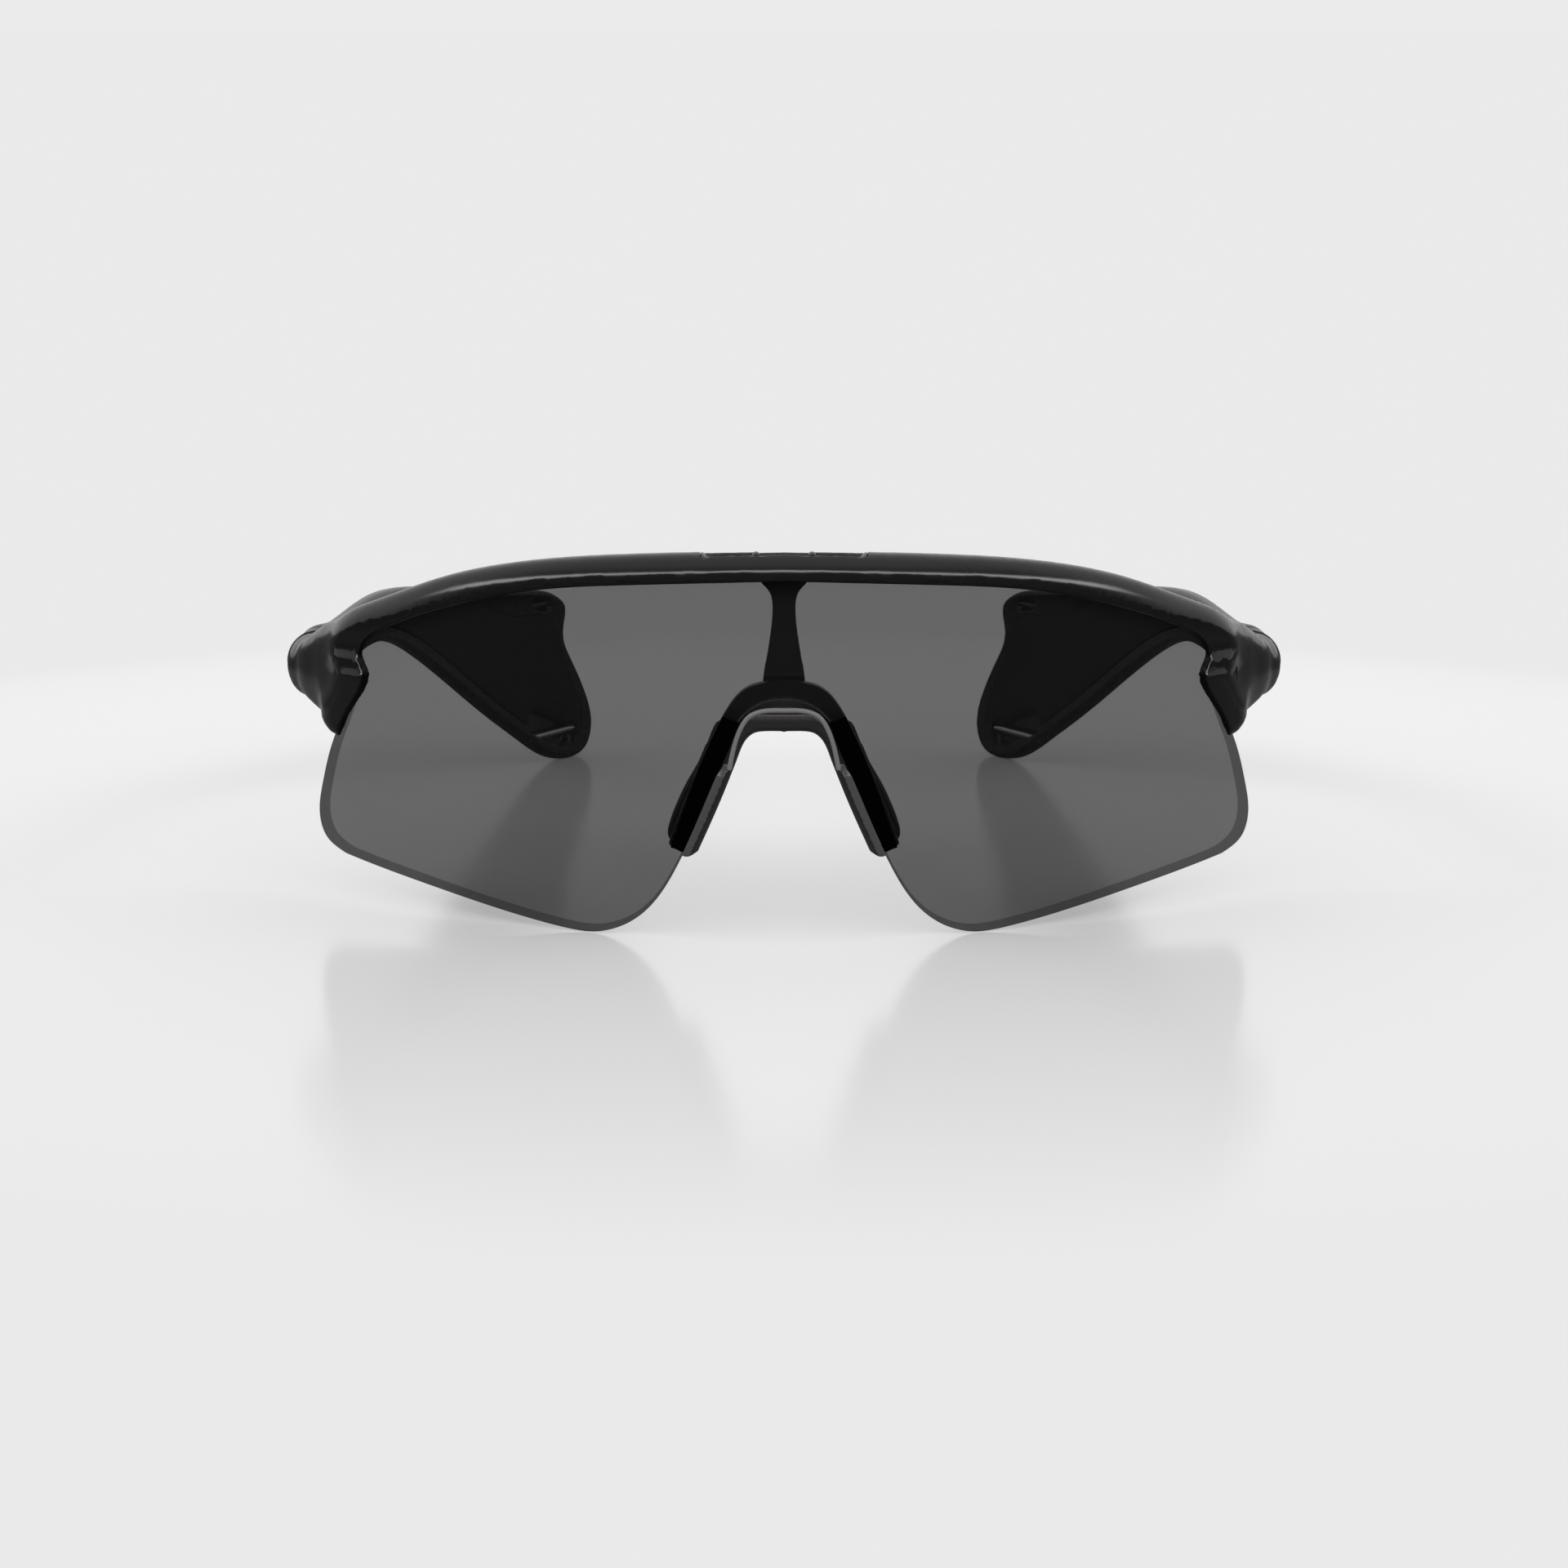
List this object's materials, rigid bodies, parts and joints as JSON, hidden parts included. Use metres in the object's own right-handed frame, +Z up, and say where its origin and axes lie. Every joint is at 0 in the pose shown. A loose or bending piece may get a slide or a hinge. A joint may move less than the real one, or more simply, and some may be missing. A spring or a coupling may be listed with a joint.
{
  "type": "wraparound sport sunglasses",
  "caption": "Wraparound sunglasses with a one-piece shield lens hung from a brow bar, a nose piece on a central stalk, and broad fin-shaped folding temples.",
  "frame": {"origin": "middle of the footprint of the open glasses, on the surface that the lens and the temple tips rest on", "axes": "+X towards the wearer's left, -Y the way the lens faces, +Z up; mirrored about X"},
  "size_m": [0.1496, 0.168, 0.0559],
  "materials": {
    "brow_plastic": "satin black",
    "temple_plastic": "satin black",
    "stalk_plastic": "matt black",
    "yoke_plastic": "matt black",
    "trim_plastic": "gloss black",
    "lens_tint": "neutral grey tint",
    "seal_rubber": "soft black",
    "pad_rubber": "soft black",
    "liner_rubber": "soft black",
    "screw_steel": "dark steel",
    "leaf_steel": "plain steel",
    "bar_steel": "dull steel",
    "bushing_brass": "turned brass",
    "washer_nylon": "natural nylon"
  },
  "bodies": {
    "front": {"brow_frame": "brow_plastic", "shield_lens": "lens_tint", "lens_gasket": "seal_rubber", "bridge_stalk": "stalk_plastic", "stalk_screws": "screw_steel", "brow_vent_insert": "trim_plastic", "nose_yoke": "yoke_plastic", "yoke_screw": "screw_steel", "nose_pad_left": "pad_rubber", "nose_pad_right": "pad_rubber", "hinge_screw_left": "screw_steel", "hinge_screw_right": "screw_steel", "hinge_washers_left": "washer_nylon", "hinge_washers_right": "washer_nylon"},
    "temple_left": {"temple_arm_left": "temple_plastic", "hinge_leaf_left": "leaf_steel", "hinge_bushing_left": "bushing_brass", "leaf_pins_left": "leaf_steel", "temple_liner_left": "liner_rubber", "strap_bar_left": "bar_steel", "tip_bar_left": "bar_steel"},
    "temple_right": {"temple_arm_right": "temple_plastic", "hinge_leaf_right": "leaf_steel", "hinge_bushing_right": "bushing_brass", "leaf_pins_right": "leaf_steel", "temple_liner_right": "liner_rubber", "strap_bar_right": "bar_steel", "tip_bar_right": "bar_steel"}
  },
  "joints": [
    {"name": "fold_left", "type": "hinge", "parent": "front", "child": "temple_left", "pos_m": [0.07, -0.03571, 0.03354], "axis": [0, 0, 1], "range_deg": [0, 80]},
    {"name": "fold_right", "type": "hinge", "parent": "front", "child": "temple_right", "pos_m": [-0.07, -0.03571, 0.03354], "axis": [0, 0, -1], "range_deg": [0, 70]}
  ]
}
